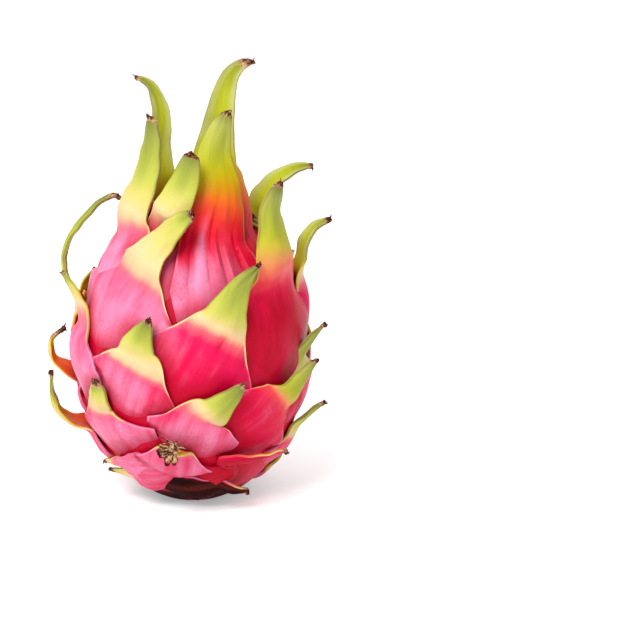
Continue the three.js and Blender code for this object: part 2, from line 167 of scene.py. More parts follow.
# The scales that grew in a way of their own, by their number in the spiral.
STRAYS = {
    # the dried one at the foot
    3: dict(azimuth=4, height=10, tilt=82, width=19, root=36, hug=6, rise=2.0, lip=1.6, blade=0.6,
        taper=0.5, start=1.3, green=3, dry=1.0, path=[(3, 12, -1), (2, 17, -2), (0, 21, -2)]),
    # the lower rows
    0: dict(azimuth=-33, height=15, tilt=-90, width=16, root=27, hug=4, rise=2.4, lip=2.0, start=0.25,
        green=0.8, pale_bloom_and_light=0.3, wither=4, crumbs=2, path=[(0, -8, -2), (-3, -21, -2)]),
    5: dict(azimuth=-36, height=20, tilt=-94, width=14, root=22, hug=3, rise=2.4, start=0.7, green=1.2,
        wither=1.2, pale_bloom_and_light=0.4, crumbs=2, path=[(0, -10, -2), (-5, -22, -4)]),
    8: dict(azimuth=-10, height=22, tilt=14, width=30, root=16, hug=5, start=0.42, green=0.9, wither=3,
        pale_bloom_and_light=0.45, shreds=0, crown=True, path=[(16, 3, 8), (20, 6, 13)]),
    10: dict(azimuth=-88, height=21, width=34, root=20, hug=3, blade=0.35, start=0.45, green=0.7,
        path=[(12, 2, 7), (18, 3, 12), (21, 3, 19), (21, 3, 31)]),
    11: dict(azimuth=14, height=15, tilt=74, width=17, root=18, hug=6, rise=2.2, lip=1.6, start=1.4,
        green=3, wither=2, pale_bloom_and_light=-0.6, path=[(8, 2, 7), (8, 14, 8), (2, 31, 9)]),
    13: dict(azimuth=-50, height=35, tilt=-4, width=48, hug=6, blade=0.36, taper=0.5, sharp=6.0,
        pale_bloom_and_light=0.5, start=0.34, green=0.75, wither=3, path=[(7, 2, 11), (9, 4, 21)]),
    14: dict(azimuth=76, height=44, tilt=-12, width=42, path=[(1, -2, 12), (5, -2, 21), (11, 0, 29)]),
    16: dict(azimuth=3, height=37, tilt=20, width=36, root=22, hug=4, pale_bloom_and_light=0.5,
        path=[(6, 9, 9), (8, 20, 21)]),
    18: dict(azimuth=-98, height=38, width=32, root=20, hug=4, blade=0.2, start=0.65, green=0.9,
        wither=6, path=[(7, 5, 11), (13, 6, 16), (15, 6, 22), (13, 6, 27), (8, 5, 30)]),
    19: dict(azimuth=38, height=40, tilt=45, start=0.35, warmth=0.7, pale_bloom_and_light=0.0,
        path=[(5, 10, 5), (6, 25, 21)]),
    # the middle rows
    21: dict(azimuth=-29, height=55, tilt=24, root=26, blade=0.5, sharp=2.6, pale_bloom_and_light=0.45, start=0.26,
        green=0.62, path=[(4, 5, 16), (4, 12, 28)]),
    23: dict(azimuth=-109, height=62, width=28, rise=1.6, lip=1.2, start=1.4, green=3, wither=0.3,
        shreds=0, crumbs=0, path=[(2, 1, 14), (1, 1, 19)]),
    24: dict(azimuth=6, height=64, tilt=29, width=46, root=26, blade=0.5, taper=0.75, pale_bloom_and_light=0.05,
        left_light=0.25, path=[(3, 9, 16), (3, 12, 23), (2, 17, 32), (-1, 24, 39)]),
    26: dict(azimuth=-72, height=57, width=38, root=26, rise=4.4, blade=0.5, start=0.6, green=0.85,
        pale_bloom_and_light=0.6, wither=1.2, shreds=1, crumbs=0,
        path=[(1, 1, 17), (2, 0, 25), (4, 0, 31), (7, -2, 37)]),
    27: dict(azimuth=98, height=76, width=38, rise=5, blade=0.42, taper=0.5, twist=-20,
        path=[(3, 0, 14), (3, 0, 21), (4, -1, 27), (7, 0, 31), (13, 0, 35)]),
    28: dict(azimuth=-138, height=74, path=[(-3, 1, 21), (-7, -1, 31)]),
    31: dict(azimuth=-100, height=64, width=34, root=22, hug=4, rise=4.4, lip=3.2, blade=0.17,
        taper=0.25, sharp=12, twist=-50, wither=6, start=0.12, green=0.3,
        path=[(4, 7, 18), (7, 6, 28), (6, 6, 36), (1, 4, 46), (-8, 2, 55), (-14, 1, 58), (-17, 1, 56)]),
    32: dict(azimuth=54, height=74, tilt=2, width=50, root=30, rise=4.5, blade=0.58, taper=0.5,
        warmth=0.75, start=0.45, green=0.62, pale_bloom_and_light=-0.4,
        path=[(6, -5, 28), (3, -4, 37), (1, -4, 46), (2, -1, 58)]),
    34: dict(azimuth=-41, height=84, tilt=20, width=66, root=34, blade=0.28, sharp=4.0, taper=0.4,
        pale_bloom_and_light=0.6, green=0.85, path=[(-3, 8, 18), (-8, 13, 26), (-11, 20, 33), (-15, 26, 38)]),
    36: dict(azimuth=-131, height=68, tilt=45, width=28, root=22, rise=1.6, lip=1.2, blade=0.75,
        taper=0.45, wither=0.3, shreds=0, crumbs=0, start=0.5, green=1.0,
        path=[(3, 10, 8), (2, 11, 14), (-1, 12, 21)]),
    # the long ones at the top
    35: dict(azimuth=110, height=90, width=34, root=22, blade=0.52, taper=0.5, twist=-25,
        path=[(-8, 0, 25), (-5, -1, 32), (0, -1, 37), (6, -2, 40), (12, -3, 41)]),
    37: dict(azimuth=21, height=93, width=38, root=58, lip=2.6, blade=0.72, taper=0.5, sharp=5,
        warmth=1.0, folds=1.5, creases=9, pale_bloom_and_light=0.4, left_light=0.35, gleam=-0.4, start=0.42, green=0.66,
        valleys=((-0.66, 0.8, 0.07), (-0.2, 1.2, 0.06), (0.1, 0.9, 0.05), (0.34, 1.0, 0.05),
                 (0.56, 1.2, 0.06)),
        path=[(-12, 4, 33), (-17, 4, 46), (-19, 7, 57), (-20, 11, 64)]),
    38: dict(azimuth=165, height=100, width=42, root=22, taper=0.5, sharp=3, warmth=0.8, wither=6,
        path=[(-11, -3, 25), (-10, -4, 39), (-10, -6, 52), (-7, -8, 64), (-5, -12, 70), (-3, -18, 72)]),
    39: dict(azimuth=-57, height=94, tilt=-3, width=33, root=34, blade=0.76, taper=0.44, sharp=4.5,
        pale_bloom_and_light=0.8, twist=-10, start=0.34, green=0.6, valleys=((-0.72, 2.4, 0.14),),
        path=[(-6, -2, 22), (-11, 0, 33), (-15, 2, 46), (-17, 1, 61)]),
    40: dict(azimuth=72, height=96, tilt=6, width=36, path=[(-1, 1, 7), (-1, 0, 12)]),
    41: dict(azimuth=-140, height=96, width=34, root=36, blade=0.48, taper=0.5,
        path=[(-15, 3, 28), (-15, 2, 44), (-14, 0, 57), (-10, 1, 66), (-5, 5, 70)]),
    42: dict(azimuth=-25, height=100, tilt=2, width=28, root=44, rise=2.2, lip=1.0, blade=0.66,
        taper=0.3, sharp=6, pale_bloom_and_light=0.5, start=0.37, green=0.66,
        path=[(-2, 5, 20), (-6, 9, 29), (-10, 12, 43)]),
    43: dict(azimuth=118, height=104, width=24, root=22, path=[(-1, -5, 5), (-5, -5, 9)]),
    44: dict(azimuth=-105, height=110, width=22, root=28, start=1.4, green=3, pale_bloom_and_light=-0.3, wither=0.3,
        shreds=0, crumbs=0, path=[(-3, -2, 8), (-4, -3, 13)]),
    45: dict(azimuth=52, height=98, width=36, root=16, rise=1.6, lip=1.0, blade=0.5, taper=0.5,
        warmth=0.9, pale_bloom_and_light=0.2, start=0.5, green=0.95, wither=0.4, shreds=0, crumbs=0,
        path=[(-7, 1, 15), (-9, 2, 26), (-13, 2, 36), (-17, 2, 46)]),
}


def lerp(a, b, share):
    return a + (b - a) * share


def smoothstep(x, low, high):
    t = np.clip((x - low) / (high - low), 0, 1)
    return t * t * (3 - 2 * t)


def unit(v):
    return v / np.linalg.norm(v, axis=-1, keepdims=True)


def column(values):
    """Numbers that are to multiply vectors."""
    return np.asarray(values, float)[..., None]


def compass(azimuth):
    a = radians(azimuth)
    out = np.array([np.sin(a), -np.cos(a), 0.0])
    aside = np.array([np.cos(a), np.sin(a), 0.0])
    return out, aside, np.array([0.0, 0.0, 1.0])


# ---- the core, an ellipsoid

CORE_AXES = np.array([CORE_RADIUS, CORE_RADIUS, CORE_HALF_HEIGHT])
CORE_MIDDLE = np.array([0.0, 0.0, CORE_CENTRE])


def core_radius_at(height):
    return CORE_RADIUS * np.sqrt(max(0.0, 1 - ((height - CORE_CENTRE) / CORE_HALF_HEIGHT) ** 2))


def core_normal(points):
    return unit((points - CORE_MIDDLE) / CORE_AXES**2)


def drop_to_core(points, direction):
    """Where the lines through the points along the direction come out of the core."""
    p = (points - CORE_MIDDLE) / CORE_AXES
    d = direction / CORE_AXES
    a = d @ d
    b = 2 * p @ d
    c = (p * p).sum(-1) - 1
    root = np.sqrt(np.maximum(0, b * b - 4 * a * c))
    return points + direction * column((root - b) / (2 * a))


# ---- the scales


class Scale:
    """One scale, described from its shoulder, where it is widest and parts from the body."""

    tilt = 0.0
    width = 40.0
    root = 24.0
    hug = 8.0
    rise = 3.2
    lip = 2.2
    blade = 0.45
    sharp = 3.6
    taper = 0.6
    twist = 0.0
    start = 0.3  # share of the free length where its pink ends
    green = 0.48  # share of the free length where it has turned green
    warmth = 0.2  # how orange it is between the two
    pale_bloom_and_light = 0.1  # how pale its pink is: partly its own bloom, partly painted light on the scales that face the key and, below zero, painted shade
    left_light = 0.0  # how much paler the left side's pink is than the right's: painted light from the key on the left
    gleam = None  # place across of a painted highlight, a pale stripe
    dry = 0.0  # 1 is dead and brown all over
    wither = 2.4  # millimetres of dead tip
    folds = 0.3  # depth of its lengthwise folds, in millimetres
    creases = 4  # how many folds
    valleys = ()  # deep lengthwise furrows: place across, depth in millimetres, breadth
    shreds = 2  # dry fibres at its tip
    crumbs = 4  # dry crumbs at its tip
    crown = False  # whether dry petals stand round its tip

    def __init__(self, number, shape):
        self.__dict__.update(shape)
        self.number = number
        self.random = np.random.default_rng(1000 + number)
        self.phases = self.random.uniform(0, 2 * np.pi, 12)
        self.grooves = [
            (
                lerp(-0.85, 0.85, (i + self.random.uniform(0.2, 0.8)) / self.creases),
                self.random.uniform(0.3, 1.0),
                self.random.uniform(0.05, 0.11),
                self.random.uniform(0, 2 * np.pi),
            )
            for i in range(self.creases)
        ]
        out, aside, up = compass(self.azimuth)
        self.shoulder = out * core_radius_at(self.height) + up * self.height
        self.normal = core_normal(self.shoulder)
        rising = np.cross(self.normal, aside)
        lean = radians(self.tilt)
        self.ahead = rising * np.cos(lean) + aside * np.sin(lean)
        self.across = aside * np.cos(lean) - rising * np.sin(lean)

        places = [self.shoulder + out * o + aside * s + up * u for o, s, u in self.path]
        self.length = self.hug + np.linalg.norm(places[-1] - self.shoulder)
        start = self.on_body(np.array(self.hug), np.array(0.0), bare=True)[0]
        before = self.on_body(np.array(self.hug - 1), np.array(0.0), bare=True)[0]
        self.knots = [start, *places]
        self.lay_tangents(unit(start - before))
        self.lay_frames()
        self.length = self.hug + self.distances[-1]

    def lay_tangents(self, direction):
        """The middle line leaves the body along it, and runs smoothly through every knot."""
        knots = self.knots
        inner = [(after - before) / 2 for before, after in zip(knots, knots[2:])]
        end = knots[-1] - knots[-2]
        if inner:
            end = end * 1.5 - inner[-1] * 0.5
        first = direction * np.linalg.norm(knots[1] - knots[0])
        self.tangents = [first, *inner, end]

    def curve(self, t):
        i = min(int(t), len(self.knots) - 2)
        u = t - i
        return (
            self.knots[i] * (2 * u**3 - 3 * u**2 + 1)
            + self.tangents[i] * (u**3 - 2 * u**2 + u)
            + self.knots[i + 1] * (3 * u**2 - 2 * u**3)
            + self.tangents[i + 1] * (u**3 - u**2)
        )

    def lay_frames(self):
        """Points along the middle line, each with the blade's own directions there."""
        count = CURVE_STEPS * (len(self.knots) - 1)
        self.points = np.array([self.curve(i / CURVE_STEPS) for i in range(count + 1)])
        steps = np.linalg.norm(np.diff(self.points, axis=0), axis=1)
        self.distances = np.concatenate([[0], np.cumsum(steps)])
        after = self.points[np.minimum(np.arange(count + 1) + 1, count)]
        before = self.points[np.maximum(np.arange(count + 1) - 1, 0)]
        self.heads = unit(after - before)
        across = self.across
        sides = []
        for head in self.heads:
            across = unit(across - head * (across @ head))
            sides.append(across)
        self.sides = np.array(sides)

    def frame_at(self, distance):
        """The middle line's point, and the blade's directions there: ahead, sideways, outward."""

        def sample(values):
            return np.stack([np.interp(distance, self.distances, values[:, i]) for i in range(3)], -1)

        head = unit(sample(self.heads))
        side = unit(sample(self.sides))
        outward = np.cross(side, head)
        turn = column(np.radians(self.twist * distance / self.distances[-1]))
        return (
            sample(self.points),
            head,
            side * np.cos(turn) + outward * np.sin(turn),
            outward * np.cos(turn) - side * np.sin(turn),
        )

    def half_width(self, a):
        root_share = np.clip(1 + a / self.root, 0, 1)
        root = self.width / 2 * lerp(ROOT_END, 1, np.sin(root_share * np.pi / 2) ** ROOT_BULGE)
        left = 1 - np.clip(a / self.length, 0, 1)
        share = (1 - self.blade) * left**self.sharp + self.blade * left**self.taper
        return np.where(a <= 0, root, np.maximum(TIP_HALF_WIDTH, self.width / 2 * share))

    def lift(self, a, b):
        """Height of the outer face above the body, from its sunken root to its free shoulder."""
        middle = lerp(SUNK_MIDDLE, self.rise, smoothstep(a, -self.root, self.hug))
        margin = lerp(SUNK_MARGIN, self.lip, smoothstep(a, -self.root * MARGIN_PARTS, self.hug / 2))
        return lerp(middle, margin, np.abs(b) ** RIM)

    def thickness(self, a, b):
        blade = lerp(THICKNESS, TIP_THICKNESS, np.clip(a / self.length, 0, 1))
        middle = lerp(ROOT_DEPTH, blade, smoothstep(a, -self.root * 0.2, self.hug))
        parting = smoothstep(a, -self.root * 0.6, -self.root * 0.1)
        return lerp(middle, lerp(MARGIN_ROOT_DEPTH, MARGIN_THICKNESS, parting), b * b)

    def waves(self, a, b, length):
        """Smooth unevenness, about -1 to 1, with swells of about this length."""
        x = a / length * 2 * np.pi
        y = b * self.width / 2 / length * 2 * np.pi
        p = self.phases
        return (
            np.sin(x * 0.9 + y * 0.4 + p[0])
            + np.sin(y * 1.1 - x * 0.5 + p[1])
            + np.sin(x * 1.7 - y * 1.3 + p[2]) * 0.6
            + np.sin(x * 0.7 + y * 2.1 + p[3]) * 0.5
        ) / 3.1

    def furrow(self, a, b):
        """Depth of its deep furrows, which die out at the root and in the green."""
        ends = smoothstep(a, -self.root * 0.5, 0)
        ends = ends * smoothstep(a, self.length * 0.42, self.length * 0.1)
        depths = [
            depth * np.exp(-(((b - place) / breadth) ** 2))
            for place, depth, breadth in self.valleys
        ]
        return sum(depths, 0.0) * ends

    def paleness(self, a, b):
        """How pale its pink is, from the body's own at the root: its own bloom with painted light, a
        paler lit left side and a painted highlight stripe, and painted shade where it is below zero.
        """
        pale_bloom_and_light = self.pale_bloom_and_light - self.left_light * b
        pale_bloom_and_light = pale_bloom_and_light * (1 - self.warmth * smoothstep(a, 0, self.length * 0.3))
        if self.gleam is not None:
            pale_bloom_and_light = pale_bloom_and_light + GLEAM * np.exp(-(((b - self.gleam) / GLEAM_BREADTH) ** 2))
        return lerp(CORE_PALENESS_AND_SHADE, pale_bloom_and_light, smoothstep(a, -self.root, -self.root * 0.2))

    def relief(self, a, b):
        """Height of the outer face's fine forms over the plain scale."""
        rising = smoothstep(a, -self.root * 0.7, self.length * 0.1)
        fading = 1 - 0.9 * smoothstep(a, self.length * 0.3, self.length * 0.62)
        grooves = 0
        for place, depth, breadth, phase in self.grooves:
            line = place + GROOVE_WANDER * np.sin(a * 0.13 + phase)
            grooves = grooves - depth * np.exp(-(((b - line) / breadth) ** 2))
        grooves = grooves * self.folds * rising * fading * (1 - b**4) - self.furrow(a, b)
        swells = SWELL_HEIGHT * self.waves(a, b, SWELL_LENGTH)
        swells = swells * smoothstep(a, -self.root, -self.root * 0.3)
        withered = smoothstep(a, self.length - 2 * self.wither, self.length) * WRINKLE_HEIGHT
        return grooves + swells + withered * self.waves(a * 3, b, WRINKLE_LENGTH)

    def margin_wave(self, a):
        """How far the free margins wave up and down."""
        free = smoothstep(a, -self.root * 0.35, self.hug)
        p = self.phases
        return free * (0.6 * np.sin(a * 0.33 + p[6]) + 0.4 * np.sin(a * 0.71 + p[7]))

    def on_body(self, a, b, bare=False):
        """The outer face where it lies along the body, without its relief if bare."""
        flat = self.shoulder + column(a) * self.ahead + column(b * self.half_width(a)) * self.across
        foot = drop_to_core(flat, self.normal)
        outward = core_normal(foot)
        height = self.lift(a, b)
        if not bare:
            height = height + self.relief(a, b) + self.margin_wave(a) * np.abs(b) ** 5
        return foot + outward * column(height), outward

    def face(self, a, b):
        """The outer face at distances along the scale and places across it."""
        distance = a - self.hug
        leaving = BODY_SHARE * self.length
        free = column(smoothstep(distance, 0, leaving))
        body, body_outward = self.on_body(np.minimum(a, self.hug + leaving), b)
        point, head, side, outward = self.frame_at(np.maximum(0, distance))
        half = self.half_width(a)
        hollow = self.relief(a, b) - CHANNEL * half * b * b + self.margin_wave(a) * 0.6 * b**4
        blade = point + side * column(half * b) + outward * column(hollow)
        blade = blade + head * column(np.minimum(0, distance))
        return lerp(body, blade, free), unit(lerp(body_outward, outward, free))

    def lay_surface(self):
        """Lays its rings of points from root to tip, and what each point's colour depends on."""
        rows = np.concatenate([
            np.linspace(-self.root, 0, ROOT_STEPS, endpoint=False),
            self.length * np.linspace(0, 1, BLADE_STEPS) ** STEP_CROWDING,
        ])
        outer = np.sin(np.linspace(-1, 1, OUTER_PLACES) * np.pi / 2 * OUTER_CROWDING)
        outer = outer / np.sin(np.pi / 2 * OUTER_CROWDING)
        inner = np.linspace(INNER_MARGIN, -INNER_MARGIN, INNER_PLACES)
        places = np.concatenate([outer, inner])
        depths = np.concatenate([np.zeros(OUTER_PLACES), np.ones(INNER_PLACES)])
        a, b = np.meshgrid(rows, places, indexing="ij")
        depth = np.broadcast_to(depths, a.shape)
        point, outward = self.face(a, b)
        self.rings = point - outward * column(depth * self.thickness(a, b))
        self.outward = outward
        along = np.where(a < 0, a / self.root, a / self.length)
        stops = [-1, 0, self.start, self.green, max(1, self.green + 0.1)]
        dead = smoothstep(a, self.length - self.wither, self.length)
        streak = self.number * STREAKS_APART
        self.facts = {
            "along": along,
            "ripe": np.interp(along, stops, [0, 0, 0.25, 0.5, 0.9]),
            "across": b,
            "inner": depth,
            "tone": 0.55 + self.phases[8] / 5 / np.pi - 0.6 * dead,
            "warmth": np.full(a.shape, self.warmth),
            "pale_bloom_and_light": self.paleness(a, b),
            "dry": np.full(a.shape, self.dry),
            "withered": np.clip(1 - (self.length - a) / self.wither / 2, 0, 1),
            # painted shade, deep red, in the deep furrows; more is added beneath other scales' margins
            "painted_shade": np.clip(self.furrow(a, b) / 2, 0, 0.8) * (1 - depth),
            "streak": np.stack([b * self.half_width(a), a, np.full(a.shape, streak)], -1),
        }

    def margins(self):
        """Points along its two margins, from where they part from the body up to the blade."""
        rows = slice(ROOT_STEPS // 2, ROOT_STEPS + BLADE_STEPS * 2 // 3, 2)
        return self.rings[rows, [[0], [OUTER_PLACES - 1]]].reshape(-1, 3)

    def tip(self):
        point, head, side, outward = self.frame_at(self.distances[-1:])
        return point[0], head[0], side[0], outward[0]


def chance(number, habit):
    """A repeatable number from 0 to 1 for each scale and each of its habits."""
    wave = np.sin(number * 12.9898 + habit * 78.233) * 43758.5453
    return wave - np.floor(wave)


def ordinary_scale(number, azimuth, height):
    """A scale's shape by its height: short at the foot, long at the shoulders of the fruit."""
    share = (height - LOWEST) / (HIGHEST - LOWEST)

    def stray(habit, most):
        return (chance(number, habit) - 0.5) * 2 * most

    def between(*stops):
        return float(np.interp(share, [s for s, _ in stops], [v for _, v in stops]))

    reach = between((0, 12), (0.5, 30), (0.85, 40), (0.92, 22), (1, 16)) * (1 + stray(1, 0.15))
    spread = stray(2, 3)
    sway = stray(4, 7)
    lean = between((0, 0.25), (0.85, 0.25), (1, 0.6))

    def place(part, away, sideways):
        up = reach * part
        surface = core_radius_at(height + up) - core_radius_at(height)
        return max(surface, -lean * up) + away, sway * sideways, up

    return dict(
        azimuth=azimuth + stray(5, 5),
        height=height + stray(6, 2),
        tilt=stray(7, 22),
        width=between((0, 22), (0.4, 44), (0.8, 42), (1, 20)),
        root=between((0, 12), (0.4, 25), (0.8, 25), (1, 14)),
        blade=between((0, 0.4), (0.8, 0.55), (1, 0.5)) + stray(8, 0.06),
        twist=stray(9, 20),
        dry=0.7 if number < 5 else 0.0,
        path=[place(0.45, 3.5, 0.3), place(0.75, 6 + spread, 0.7), place(1, 10 + spread * 2, 1)],
    )


def all_scales():
    for number in range(SCALE_COUNT):
        if number in FREE_GROUND:
            continue
        azimuth = FIRST_AZIMUTH + number * GOLDEN_ANGLE
        height = lerp(LOWEST, HIGHEST, (number / (SCALE_COUNT - 1)) ** CROWDING)
        yield Scale(number, STRAYS.get(number) or ordinary_scale(number, azimuth, height))


# ---- meshes

NUMBERS = (
    "along", "ripe", "across", "inner", "tone", "warmth", "pale_bloom_and_light", "dry", "withered", "painted_shade"
)
FACTS = {**dict.fromkeys(NUMBERS, "FLOAT"), "streak": "FLOAT_VECTOR"}
PLAIN = dict.fromkeys(FACTS, 0.0)


def circle(sides):
    return np.linspace(0, 2 * np.pi, sides, endpoint=False)


def solid(name, rings, facts, collection):
    """A closed mesh from rings of points in millimetres, each fact stored at every corner."""
    rows, around = rings.shape[:2]
    points = rings.reshape(-1, 3) * MM
    faces = []
    for row in range(rows - 1):
        for i in range(around):
            j = (i + 1) % around
            low = row * around
            high = low + around
            faces.append((low + i, low + j, high + j, high + i))
    faces.append(tuple(reversed(range(around))))
    faces.append(tuple(range((rows - 1) * around, rows * around)))
    mesh = bpy.data.meshes.new(name)
    mesh.from_pydata(points.tolist(), [], faces)
    corners = np.zeros(len(mesh.loops), dtype=np.int32)
    mesh.loops.foreach_get("vertex_index", corners)
    for fact, kind in FACTS.items():
        layer = mesh.attributes.new(fact, kind, "CORNER")
        size = 3 if kind == "FLOAT_VECTOR" else 1
        values = np.broadcast_to(facts[fact], (rows, around, size) if size > 1 else (rows, around))
        values = values.reshape(rows * around, size)[corners]
        layer.data.foreach_set("vector" if size > 1 else "value", values.ravel().astype(np.float32))
    obj = bpy.data.objects.new(name, mesh)
    collection.objects.link(obj)
    return obj


def core_rings():
    """The body under the scales, from the flat spot up to the hollow's floor."""
    bottom = np.arcsin(-CORE_CENTRE / CORE_HALF_HEIGHT)
    rim = np.arccos(NAVEL_RADIUS / CORE_RADIUS)
    angles = np.linspace(bottom, rim, CORE_RINGS)
    outline = [(AXIS_RADIUS, 0.0), (FOOT_RADIUS * 0.5, 0.0)]
    outline += [
        (CORE_RADIUS * np.cos(t), CORE_CENTRE + CORE_HALF_HEIGHT * np.sin(t)) for t in angles
    ]
    outline += [(NAVEL_RADIUS * r, NAVEL_FLOOR + NAVEL_DEPTH * h) for r, h in NAVEL_SIDE]
    outline += [(AXIS_RADIUS, NAVEL_FLOOR)]
    radii, heights = np.array(outline).T[..., None]
    heights = np.broadcast_to(heights, (len(outline), CORE_SIDES))
    turns = circle(CORE_SIDES)
    return np.stack([radii * np.cos(turns), radii * np.sin(turns), heights], -1)


SHRED_LENGTHS = (1.2, 2.2)
SHRED_WIDTHS = (0.7, 1.3)
SHRED_STEPS = 11
SHRED_SIDES = 8
CRUMB_RADII = (0.3, 0.65)
CRUMB_STEPS = 7
CRUMB_SIDES = 9
PETAL_STEPS = 15
PETAL_SIDES = 16
THINNEST = 0.05


def shred_rings(start, direction, side, length, width, random):
    """A dry fibre: a thin strip that tapers, buckles and curls to a side of its own."""
    t = np.linspace(0, 1, SHRED_STEPS)
    curl = unit(random.normal(size=3) - direction * 0.5) * random.uniform(0.3, 1.1)
    path = start + direction * column(t * length) + curl * column(t**2 * length * 0.6)
    buckle = np.sin(t * random.uniform(5, 9) + random.uniform(0, 6)) * 0.2 * width
    thin = np.cross(direction, side)
    path = path + thin * column(buckle * t)
    half = width / 2 * (1 - t) ** 0.45 * (1 + 0.25 * np.sin(t * 11 + random.uniform(0, 6))) + 0.06
    ring = []
    for angle in circle(SHRED_SIDES):
        sideways = side * column(half * np.cos(angle))
        through = thin * column((0.1 + half * 0.22) * np.sin(angle) + half * 0.5 * np.cos(angle) ** 2)
        ring.append(path + sideways + through)
    return np.stack(ring, 1)


def crumb_rings(centre, radius, random):
    """A dry crumb: a small ball knocked out of round."""
    turns = circle(CRUMB_SIDES)
    axis = unit(random.normal(size=3))
    side = unit(np.cross(axis, random.normal(size=3)))
    other = np.cross(axis, side)
    rings = []
    for t in np.linspace(-1, 1, CRUMB_STEPS):
        size = radius * (np.sqrt(1 - t * t) + THINNEST) * random.uniform(0.75, 1.3, turns.shape)
        away = side * column(size * np.cos(turns)) + other * column(size * np.sin(turns))
        rings.append(centre + axis * t * radius * 1.3 + away)
    return np.stack(rings)


def brown_facts(number, tone=0.4):
    """What a dead bit's colour depends on."""
    streak = np.array([0.0, number * 3.1, number * STREAKS_APART])
    return {**PLAIN, "along": 1.0, "ripe": 0.9, "tone": tone, "withered": 1.0, "streak": streak}


def add_withered_bits(scale, collection):
    """The shrivelled fibres and crumbs that cling to a scale's tip."""
    point, head = scale.tip()[:2]
    random = scale.random
    for i in range(scale.shreds):
        direction = unit(head + random.normal(size=3) * 0.6)
        across = unit(np.cross(direction, random.normal(size=3)))
        start = point - head * random.uniform(0.6, 1.4)
        length = random.uniform(*SHRED_LENGTHS)
        width = random.uniform(*SHRED_WIDTHS)
        rings = shred_rings(start, direction, across, length, width, random)
        solid(f"shred_{scale.number}_{i}", rings, brown_facts(scale.number + i), collection)
    for i in range(scale.crumbs):
        centre = point - head * random.uniform(0, 1.6) + random.normal(size=3) * 0.3
        rings = crumb_rings(centre, random.uniform(*CRUMB_RADII), random)
        solid(f"crumb_{scale.number}_{i}", rings, brown_facts(scale.number + i), collection)


def petal(name, start, direction, curl, side, size, edge, random, collection):
    """A dry petal: straw with dark, ragged edges, buckled along and curling over at its end."""
    length, width = size
    around = circle(PETAL_SIDES)
    t = np.linspace(0, 1, PETAL_STEPS)[:, None]
    thin = np.cross(direction, side)
    ragged = 1 + 0.18 * np.sin(t * 17 + np.sign(np.cos(around)) * 2 + random.uniform(0, 6))
    half = width / 2 * np.sqrt(np.clip(1 - t**4, 0, 1)) * (0.35 + 0.65 * np.sin(t * 1.9)) * ragged
    half = half + THINNEST
    wave = np.cos(around) * random.uniform(3, 5) + t * random.uniform(2, 4)
    wave = np.sin(wave + random.uniform(0, 6))
    curled = np.sin(t * 8 + random.uniform(0, 6)) * np.abs(np.cos(around)) ** 3
    depth = 0.13 * np.sin(around) + t * width * (0.07 * wave + 0.1 * curled)
    path = start + direction * (t * length) + curl * (t**2 * length * 0.5)
    rings = path[:, None] + side * column(half * np.cos(around)) + thin * column(depth)
    rim = np.maximum(np.abs(np.cos(around)) ** 3, smoothstep(t, 0.72, 0.95))
    solid(name, rings, brown_facts(random.uniform(0, 9), lerp(0.95, edge, rim)), collection)


# Kinds of dead petals: how many, the first one's turn in degrees, the step to the next, how far
# it strays, lengths, width or widths, and how it stands: leaning back, out from the tip, curling
# aside, and the tone of its edge.
CROWN = {
    "star": (6, 0, 60, 12, (2.2, 3.4), 1.5, -0.3, 0.0, 0.4, 0.8),
    "fan": (5, 80, 27, 6, (5.2, 6.8), (3.2, 4.2), 0.45, 0.0, 0.4, -0.1),
    "curl": (9, 190, 21, 8, (3.4, 5.4), (1.2, 1.9), 0.2, 1.8, 1.4, -0.3),
    "hook": (6, 70, 25, 8, (2.0, 3.4), (0.8, 1.2), 0.9, 3.6, 1.6, -0.3),
}


def add_crown(scale, collection):
    """Dead petals round a blade's end: a small straw star, a broad fan below, dark curls above."""
    point, head, side, outward = scale.tip()
    random = scale.random
    for kind, (count, first, step, stray, lengths, widths, back, out, curl, edge) in CROWN.items():
        for i in range(count):
            turn = radians(first + step * i + random.uniform(-stray, stray))
            length = random.uniform(*lengths)
            width = random.uniform(*widths) if isinstance(widths, tuple) else widths
            away = side * np.cos(turn) + outward * np.sin(turn)
            direction = unit(away - head * back)
            bend = np.cross(head, away) * random.uniform(-curl, curl) - head * 0.5
            start = point - head * random.uniform(0.4, 1.4) + away * out
            across = unit(np.cross(direction, head))
            name = f"{kind}_{scale.number}_{i}"
            petal(name, start, direction, bend, across, (length, width), edge, random, collection)


def joined(name, base, collection, cut_below=None):
    """One solid from the base and everything in the collection, whose objects are then removed."""
    union = base.modifiers.new("union", "BOOLEAN")
    union.operation = "UNION"
    union.operand_type = "COLLECTION"
    union.collection = collection
    union.solver = "MANIFOLD"
    if cut_below:
        cut = base.modifiers.new("cut", "BOOLEAN")
        cut.operation = "DIFFERENCE"
        cut.object = cut_below
        cut.solver = "MANIFOLD"
    graph = bpy.context.evaluated_depsgraph_get()
    mesh = bpy.data.meshes.new_from_object(base.evaluated_get(graph), depsgraph=graph)
    mesh.name = name
    for obj in [*collection.objects, base] + ([cut_below] if cut_below else []):
        bpy.data.objects.remove(obj)
    bpy.data.collections.remove(collection)
    return mesh


def outer_skin(mesh):
    """Drops what is shut in: keeps the faces joined to the topmost one."""
    made = bmesh.new()
    made.from_mesh(mesh)
    top = max(made.verts, key=lambda v: v.co.z)
    reached = {top}
    waiting = [top]
    while waiting:
        vert = waiting.pop()
        for link in vert.link_edges:
            other = link.other_vert(vert)
            if other not in reached:
                reached.add(other)
                waiting.append(other)
    bmesh.ops.delete(made, geom=[v for v in made.verts if v not in reached], context="VERTS")
    made.to_mesh(mesh)
    made.free()


def new_collection(name):
    collection = bpy.data.collections.new(name)
    bpy.context.scene.collection.children.link(collection)
    return collection


